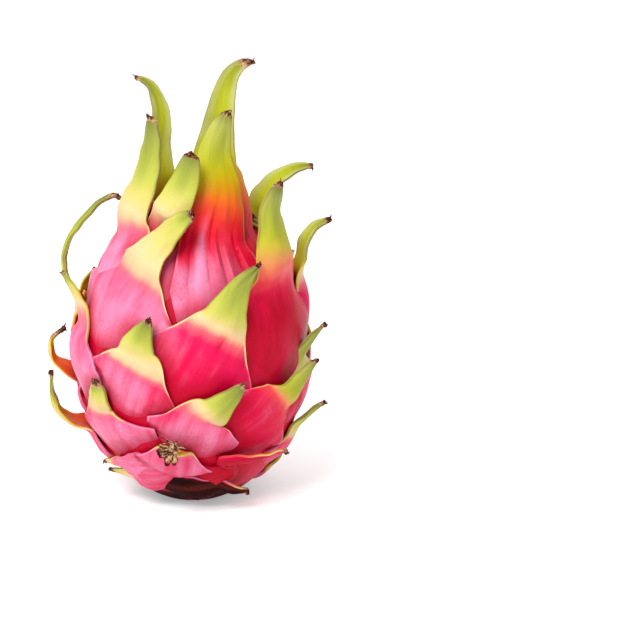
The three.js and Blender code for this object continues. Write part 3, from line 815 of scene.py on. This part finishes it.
def shade_under_margins(points, outward, margins):
    """Painted shade: 1 where a point lies right beneath one of the margins, down to 0 some way out from
    it.
    """
    low = points.min((0, 1)) - SHADE_REACH
    high = points.max((0, 1)) + SHADE_REACH
    margins = margins[((margins > low) & (margins < high)).all(-1)]
    share = np.zeros(points.shape[:2])
    for row, (places, directions) in enumerate(zip(points, outward)):
        apart = margins[None] - places[:, None]
        above = (apart * directions[:, None]).sum(-1) > SHADE_RISE
        near = np.where(above, 1 - np.linalg.norm(apart, axis=-1) / SHADE_REACH, 0)
        share[row] = near.max(-1, initial=0)
    return share


GROUND_SIZE = 0.4  # of the block under z = 0 that cuts the fruit's flat spot, in metres


def make_fruit():
    """The fruit's mesh: its body, scales and dry bits made one, and cut flat where it stands."""
    parts = new_collection("fruit_parts")
    scales = list(all_scales())
    for scale in scales:
        scale.lay_surface()
    for scale in scales:
        others = np.concatenate([other.margins() for other in scales if other is not scale])
        outer = slice(0, OUTER_PLACES)
        # Painted shade where the outer face lies beneath other scales' margins.
        beneath = shade_under_margins(scale.rings[:, outer], scale.outward[:, outer], others)
        painted_shade = scale.facts["painted_shade"]
        painted_shade[:, outer] = np.maximum(painted_shade[:, outer], beneath)
        solid(f"scale_{scale.number}", scale.rings, scale.facts, parts)
        add_withered_bits(scale, parts)
        if scale.crown:
            add_crown(scale, parts)
    base = new_collection("fruit_base")
    rings = core_rings()
    stem_end = 1 - smoothstep(rings[..., 2], STEM_END * 0.6, STEM_END)
    turns = np.broadcast_to(np.linspace(0, 2 * np.pi * CORE_RADIUS, rings.shape[1]), rings.shape[:2])
    streak = np.stack([turns, rings[..., 2], np.zeros(rings.shape[:2])], -1)
    # Painted shade on the bare body beneath the scales' margins.
    painted_shade = shade_under_margins(rings, core_normal(rings), np.concatenate([scale.margins() for scale in scales]))
    facts = {**PLAIN, "along": -0.75, "tone": 0.25, "pale_bloom_and_light": CORE_PALENESS_AND_SHADE, "dry": stem_end}
    body = solid("core", rings, {**facts, "painted_shade": painted_shade, "streak": streak}, base)
    bpy.ops.mesh.primitive_cube_add(size=GROUND_SIZE, location=(0, 0, -GROUND_SIZE / 2))
    ground = bpy.context.object
    mesh = joined("dragon_fruit_peel", body, parts, ground)
    bpy.data.collections.remove(base)
    outer_skin(mesh)
    return mesh


def piece(name, mesh, material, node):
    """Shows the mesh in place of a CAD node, carried by the fruit's one body."""
    mesh.shade_smooth()
    mesh.set_sharp_from_angle(angle=radians(SHARP_FROM))
    mesh.materials.clear()
    mesh.materials.append(material)
    obj = bpy.data.objects.new(name, mesh)
    bpy.context.scene.collection.objects.link(obj)
    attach(obj, "root")
    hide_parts(node)


# ---- the dry stump of the flower

STUMP_RADIUS = 4.6
STUMP_HEIGHT = 7.0
STUMP_FOOT = NAVEL_FLOOR + 0.3
STUMP_SIDES = 132
STUMP_RIDGES = 11
STUMP_FIBRES = 46
FIBRE_LENGTHS = (2.6, 3.6)
FIBRE_WIDTHS = (0.4, 0.9)

# Its outline, up the outside and down the hollow: shares of its radius and height, and roughness.
STUMP_OUTLINE = (
    (0.02, 0, 0), (0.95, 0, 0), (1.0, 0.12, 1), (0.86, 0.35, 1), (0.8, 0.6, 1), (0.85, 0.85, 1),
    (0.8, 0.93, 1), (0.7, 0.9, 0.6), (0.58, 0.62, 0.4), (0.4, 0.5, 0.3), (0.02, 0.46, 0),
)


def stump_rings():
    """A withered tube: ridged outside, ragged at its rim and sunk in the middle."""
    turns = circle(STUMP_SIDES)
    ridges = np.abs(np.sin(turns * STUMP_RIDGES / 2 + 0.6 * np.sin(turns * 2)))
    ragged = 0.5 * np.sin(turns * 5 + 1) + 0.5 * np.sin(turns * 13 + 2) + 0.4 * np.sin(turns * 23)
    rings = []
    for radius, height, rough in STUMP_OUTLINE:
        r = STUMP_RADIUS * radius * (1 - rough * 0.1 * (1 - ridges))
        z = STUMP_FOOT + STUMP_HEIGHT * height + rough * (height > 0.8) * 0.4 * ragged
        z = np.broadcast_to(z, r.shape)
        rings.append(np.stack([r * np.cos(turns), r * np.sin(turns), z], -1))
    return np.stack(rings)


def make_stump():
    """The stump's mesh: the tube and the dry fibres that stand in it."""
    random = np.random.default_rng(7)
    parts = new_collection("stump_parts")
    for i in range(STUMP_FIBRES):
        turn = random.uniform(0, 2 * np.pi)
        out = np.array([np.cos(turn), np.sin(turn), 0.0])
        radius = STUMP_RADIUS * random.uniform(0.2, 0.75)
        start = out * radius + np.array([0, 0, STUMP_FOOT + STUMP_HEIGHT * 0.5])
        rise = unit(out * random.uniform(-0.25, 0.35) + np.array([0, 0, 1.0]))
        side = np.cross(rise, out)
        length = random.uniform(*FIBRE_LENGTHS)
        rings = shred_rings(start, rise, side, length, random.uniform(*FIBRE_WIDTHS), random)
        solid(f"fibre_{i}", rings, brown_facts(i), parts)
    base = new_collection("stump_base")
    tube = solid("tube", stump_rings(), brown_facts(0), base)
    mesh = joined("dried_flower_stump", tube, parts)
    bpy.data.collections.remove(base)
    outer_skin(mesh)
    return mesh


# ---- materials


STUDIO_LIGHT = 1.75
BRIGHTEST = 0.95


def seen(red, green, blue):
    """The surface colour that looks like this one, given in sRGB, in the studio's light."""
    srgb = np.array([red, green, blue]) / 255
    linear = np.where(srgb > 0.04045, ((srgb + 0.055) / 1.055) ** 2.4, srgb / 12.92)
    return (*np.minimum(linear / STUDIO_LIGHT, BRIGHTEST).tolist(), 1.0)


class Tree:
    """Shader nodes written as expressions."""

    def __init__(self, name):
        self.material = bpy.data.materials.new(name)
        self.material.use_nodes = True
        self.nodes = self.material.node_tree.nodes
        self.links = self.material.node_tree.links
        self.shader = self.nodes["Principled BSDF"]

    def feed(self, socket, value):
        if isinstance(value, bpy.types.NodeSocket):
            self.links.new(value, socket)
        else:
            socket.default_value = value

    def math(self, operation, *values):
        node = self.nodes.new("ShaderNodeMath")
        node.operation = operation
        for socket, value in zip(node.inputs, values):
            self.feed(socket, value)
        return node.outputs[0]

    def add(self, *terms):
        return reduce(partial(self.math, "ADD"), terms)

    def times(self, *factors):
        return reduce(partial(self.math, "MULTIPLY"), factors)

    def between(self, value, low, high, to_low=0.0, to_high=1.0):
        """Goes smoothly from one number to the other while the value goes from low to high."""
        node = self.nodes.new("ShaderNodeMapRange")
        node.interpolation_type = "SMOOTHSTEP"
        for socket, number in zip(node.inputs, (value, low, high, to_low, to_high)):
            self.feed(socket, number)
        return node.outputs[0]

    def fact(self, name, output="Fac"):
        node = self.nodes.new("ShaderNodeAttribute")
        node.attribute_name = name
        return node.outputs[output]

    def place(self):
        return self.nodes.new("ShaderNodeTexCoord").outputs["Object"]

    def stretched(self, vector, factors):
        node = self.nodes.new("ShaderNodeMapping")
        node.inputs["Scale"].default_value = factors
        self.feed(node.inputs["Vector"], vector)
        return node.outputs[0]

    def noise(self, vector, scale, detail=3.0, roughness=0.5):
        """Noise about 0, mostly within -0.5 to 0.5."""
        node = self.nodes.new("ShaderNodeTexNoise")
        self.feed(node.inputs["Vector"], vector)
        node.inputs["Scale"].default_value = scale
        node.inputs["Detail"].default_value = detail
        node.inputs["Roughness"].default_value = roughness
        return self.math("SUBTRACT", node.outputs["Fac"], 0.5)

    def ramp(self, value, stops):
        node = self.nodes.new("ShaderNodeValToRGB")
        elements = node.color_ramp.elements
        while len(elements) < len(stops):
            elements.new(0.5)
        for element, (position, colour) in zip(elements, stops):
            element.position = position
            element.color = colour
        self.feed(node.inputs[0], value)
        return node.outputs[0]

    def mix(self, share, a, b):
        node = self.nodes.new("ShaderNodeMix")
        node.data_type = "RGBA"
        self.feed(node.inputs[0], share)
        self.feed(node.inputs[6], a)
        self.feed(node.inputs[7], b)
        return node.outputs[2]

    def bump(self, height, distance, strength):
        node = self.nodes.new("ShaderNodeBump")
        node.inputs["Distance"].default_value = distance
        node.inputs["Strength"].default_value = strength
        self.feed(node.inputs["Height"], height)
        return node.outputs[0]

    def set(self, **values):
        for name, value in values.items():
            self.feed(self.shader.inputs[name.replace("_", " ")], value)


OUTER_COLOURS = [
    (0.0, seen(240, 12, 84)),
    (0.15, seen(246, 34, 100)),
    (0.21, seen(252, 118, 130)),
    (0.26, seen(253, 212, 164)),
    (0.32, seen(248, 230, 174)),
    (0.41, seen(230, 220, 132)),
    (0.52, seen(206, 208, 98)),
    (0.66, seen(176, 184, 74)),
    (0.8, seen(142, 148, 62)),
    (0.9, seen(110, 112, 54)),
]
WARM_COLOURS = [
    (0.0, seen(232, 8, 62)),
    (0.14, seen(246, 18, 62)),
    (0.22, seen(255, 52, 48)),
    (0.3, seen(253, 112, 40)),
    (0.37, seen(226, 150, 20)),
    (0.45, seen(208, 184, 18)),
    (0.56, seen(202, 202, 36)),
    (0.78, seen(196, 198, 96)),
    (0.9, seen(132, 130, 74)),
]
INNER_COLOURS = [
    (0.0, seen(226, 24, 44)),
    (0.12, seen(238, 56, 40)),
    (0.25, seen(240, 112, 44)),
    (0.36, seen(222, 166, 34)),
    (0.52, seen(206, 204, 30)),
    (0.75, seen(190, 194, 40)),
    (0.95, seen(126, 130, 40)),
]
WITHERED_COLOURS = [
    (0.3, seen(48, 16, 12)),
    (0.5, seen(112, 62, 42)),
    (0.7, seen(208, 168, 122)),
    (0.9, seen(226, 194, 150)),
]
DRY_COLOURS = [
    (0.3, seen(22, 3, 3)),
    (0.5, seen(54, 9, 7)),
    (0.72, seen(104, 32, 20)),
]
STUMP_COLOURS = [
    (0.25, seen(52, 32, 22)),
    (0.5, seen(104, 70, 42)),
    (0.72, seen(168, 128, 82)),
]
FLOOR_COLOURS = [
    (0.0, (0.78, 0.79, 0.8, 1)),
    (1.0, (0.82, 0.82, 0.83, 1)),
]


# The pale pink is partly bloom and partly painted light, the crimson partly painted shade, the root red
# and the shade red painted shade, and the silvery green partly painted light.
PALE_PINK = seen(253, 148, 188)
CRIMSON = seen(198, 2, 40)
DEEP_PINK = seen(226, 6, 66)
ROOT_SHADE_RED = seen(220, 8, 62)
SHADE_RED = seen(196, 0, 36)
VEIN_GREEN = seen(108, 122, 48)
KEEL_GREEN = seen(122, 134, 50)
MARGIN_BROWN = seen(132, 106, 58)
SILVERY_LIT_GREEN = seen(206, 208, 138)


def peel_material():
    """The living peel, and the tips and scales that died."""
    tree = Tree("dragon_fruit_peel")
    along = tree.fact("along")
    ripe = tree.fact("ripe")
    across = tree.math("ABSOLUTE", tree.fact("across"))
    inner = tree.fact("inner")
    tone = tree.fact("tone")
    dry = tree.fact("dry")
    streak = tree.fact("streak", "Vector")
    place = tree.place()

    veins = tree.noise(tree.stretched(streak, (0.22, 0.03, 1.0)), 1.0)
    fine_veins = tree.noise(tree.stretched(streak, (1.8, 0.09, 1.0)), 1.0, roughness=0.6)
    blotches = tree.noise(place, 48)
    grain = tree.noise(place, 1200, detail=2, roughness=0.7)

    # Pink, then cream, then green towards the tip; the cream runs down the margins.
    margin = tree.between(across, 0.93, 1.0)
    free = tree.times(margin, tree.between(along, -0.3, 0.0))
    lead = tree.between(ripe, 0.42, 0.2, 0.0, 0.17)
    edge = tree.times(free, tree.between(ripe, 0.04, 0.16), lead)
    ripeness = tree.add(ripe, edge, tree.times(veins, 0.07), tree.times(blotches, 0.07))
    ripeness = tree.add(ripeness, tree.times(fine_veins, 0.03))
    cool = tree.ramp(ripeness, OUTER_COLOURS)
    outer = tree.mix(tree.fact("warmth"), cool, tree.ramp(ripeness, WARM_COLOURS))
    inside = tree.ramp(tree.add(ripeness, tree.times(tone, 0.05)), INNER_COLOURS)
    # Paler, silvery green towards the inner face's margins, partly the blade's own grey-green and
    # partly painted light.
    silvery_and_lit = tree.times(tree.between(across, 0.25, 0.8), tree.between(ripe, 0.45, 0.6), 0.6)
    inside = tree.mix(silvery_and_lit, inside, SILVERY_LIT_GREEN)
    colour = tree.mix(tree.between(inner, 0.3, 0.7), outer, inside)

    # Deeper red towards the root as painted shade; pale bloom, partly its own and partly painted light;
    # crimson, partly mottling and partly painted shade; darker mottling; and painted shade beneath the
    # margins and in the furrows; all where it is pink.
    # Painted shade: deeper red towards the root, where it slips in under its neighbours.
    root_shade = tree.times(tree.between(along, 0.2, -0.75), 0.7)
    colour = tree.mix(root_shade, colour, ROOT_SHADE_RED)
    pinkness = tree.between(ripeness, 0.27, 0.12)
    mottle = tree.add(veins, blotches, tree.times(fine_veins, 0.12))
    # Paleness from mottling, the cream margins and each scale's bloom, which is partly painted light
    # and, below zero, painted shade.
    paleness = tree.add(mottle, tree.fact("pale_bloom_and_light"), tree.times(free, 0.6))
    pale = tree.times(tree.between(paleness, 0.0, 0.85), pinkness)
    colour = tree.mix(pale, colour, PALE_PINK)
    crimson = tree.times(tree.between(paleness, 0.0, -0.6), pinkness)
    colour = tree.mix(crimson, colour, CRIMSON)
    deep = tree.between(tree.add(blotches, tree.times(grain, 0.6)), 0.0, 0.34)
    colour = tree.mix(tree.times(deep, pinkness, 0.55), colour, DEEP_PINK)
    # Painted shade, deep red, beneath other scales' margins and in the furrows.
    shade = tree.between(tree.fact("painted_shade"), 0.0, 1.0)
    shade = tree.times(shade, tree.between(ripeness, 0.4, 0.15), 0.85)
    colour = tree.mix(shade, colour, SHADE_RED)

    # Dark veins, a darker keel and browned margins where it is green.
    greenish = tree.between(ripeness, 0.4, 0.6)
    dark_veins = tree.between(tree.add(fine_veins, tree.times(blotches, 0.4)), 0.05, 0.35)
    colour = tree.mix(tree.times(dark_veins, greenish, 0.35), colour, VEIN_GREEN)
    keel = tree.times(tree.between(across, 0.75, 0.1), tree.between(inner, 0.6, 0.3))
    colour = tree.mix(tree.times(keel, greenish, 0.3), colour, KEEL_GREEN)
    lined = tree.times(tree.between(across, 0.9, 0.98), tree.between(ripeness, 0.35, 0.55), 0.5)
    colour = tree.mix(lined, colour, MARGIN_BROWN)

    # The dead tip, a thin brown line along the margins near it, and the scales that died whole.
    withered = tree.fact("withered")
    crisp = tree.add(withered, tree.times(margin, withered, 0.5), tree.times(grain, 0.25))
    bleached = tree.times(tree.math("SUBTRACT", tone, 0.5), 0.5)
    brown = tree.add(grain, tree.times(fine_veins, 0.6), bleached, 0.5)
    brown = tree.ramp(brown, WITHERED_COLOURS)
    colour = tree.mix(tree.between(crisp, 0.4, 0.62), colour, brown)
    dark = tree.add(veins, tree.times(blotches, 0.6), tree.times(grain, 0.4), 0.5)
    dark = tree.ramp(dark, DRY_COLOURS)
    dry_reach = tree.between(tree.add(across, tree.times(grain, 0.1)), 1.0, 0.86)
    colour = tree.mix(tree.times(dry, dry_reach), colour, dark)

    relief = tree.add(tree.times(fine_veins, 0.6), tree.times(grain, 0.3))
    skin = tree.add(0.38, tree.times(grain, 0.12), tree.times(blotches, 0.12))
    crust = tree.add(tree.between(crisp, 0.4, 0.62, 0.0, 0.3), tree.times(dry, 0.5))
    tree.set(
        Base_Color=colour,
        Roughness=tree.add(skin, crust),
        Normal=tree.bump(relief, 0.0003, 0.5),
        Specular_IOR_Level=0.06,
        Subsurface_Weight=0.12,
        Subsurface_Radius=(1.0, 0.25, 0.2),
        Subsurface_Scale=0.003,
    )
    return tree.material


def stump_material():
    tree = Tree("dried_flower")
    place = tree.place()
    fibres = tree.noise(tree.stretched(place, (1.0, 1.0, 0.15)), 1400, detail=4, roughness=0.65)
    stains = tree.noise(place, 420)
    mottle = tree.add(fibres, tree.times(stains, 0.8), 0.5)
    tree.set(
        Base_Color=tree.ramp(mottle, STUMP_COLOURS),
        Roughness=tree.add(0.75, tree.times(stains, 0.2)),
        Normal=tree.bump(fibres, 0.0004, 0.8),
    )
    return tree.material


def floor_material():
    tree = Tree("pale_floor")
    mottle = tree.noise(tree.place(), 3, detail=2)
    tree.set(
        Base_Color=tree.ramp(tree.add(mottle, 0.5), FLOOR_COLOURS),
        Roughness=0.7,
        Specular_IOR_Level=0.1,
        Emission_Color=(1.0, 1.0, 1.0, 1.0),
        Emission_Strength=0.3,
    )
    return tree.material


# ---- studio

AIM = Vector((0.0482, 0.0, 0.0742))
CAMERA_DISTANCE = 0.85
CAMERA_ELEVATION = 13.0
FRAME_WIDTH = 0.2504
SENSOR = 36.0
NEAREST = 0.05
FURTHEST = 50
KEY_PLACE = Vector((-0.55, -0.95, 1.25))
KEY_TARGET = Vector((0, 0, 0.07))
KEY_SIZE = 1.0
KEY_POWER = 34
FLOOR_RADIUS = 6
FLOOR_SIDES = 96


def add_camera():
    tilt = radians(CAMERA_ELEVATION)
    away = Vector((0, -np.cos(tilt), np.sin(tilt)))
    data = bpy.data.cameras.new("camera")
    data.sensor_width = SENSOR
    data.lens = SENSOR * CAMERA_DISTANCE / FRAME_WIDTH
    data.clip_start = NEAREST
    data.clip_end = FURTHEST
    camera = bpy.data.objects.new("camera", data)
    camera.location = AIM + away * CAMERA_DISTANCE
    camera.rotation_euler = (-away).to_track_quat("-Z", "Y").to_euler()
    bpy.context.scene.collection.objects.link(camera)
    bpy.context.scene.camera = camera


def add_key_light():
    data = bpy.data.lights.new("key", "AREA")
    data.shape = "DISK"
    data.size = KEY_SIZE
    data.energy = KEY_POWER
    light = bpy.data.objects.new("key", data)
    light.location = KEY_PLACE
    light.rotation_euler = (KEY_TARGET - KEY_PLACE).to_track_quat("-Z", "Y").to_euler()
    bpy.context.scene.collection.objects.link(light)


def add_studio():
    """An endless pale floor, a white world and the key light."""
    mesh = bpy.data.meshes.new("floor")
    made = bmesh.new()
    bmesh.ops.create_circle(made, cap_ends=True, segments=FLOOR_SIDES, radius=FLOOR_RADIUS)
    made.to_mesh(mesh)
    made.free()
    floor = bpy.data.objects.new("floor", mesh)
    floor.data.materials.append(floor_material())
    bpy.context.scene.collection.objects.link(floor)
    floor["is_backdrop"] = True
    world = bpy.data.worlds.new("white_studio")
    world.use_nodes = True
    background = world.node_tree.nodes["Background"]
    background.inputs["Color"].default_value = (1, 1, 1, 1)
    background.inputs["Strength"].default_value = 1.0
    bpy.context.scene.world = world
    add_key_light()
    bpy.context.scene.view_settings.view_transform = "Standard"


# ---- making it

add_camera()
add_studio()

piece("peel", make_fruit(), peel_material(), "dragon_fruit")
piece("dried_flower_stump", make_stump(), stump_material(), "dried_flower_base")

[[list(corner) for corner in box] for box in (CAD_BOX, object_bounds())]
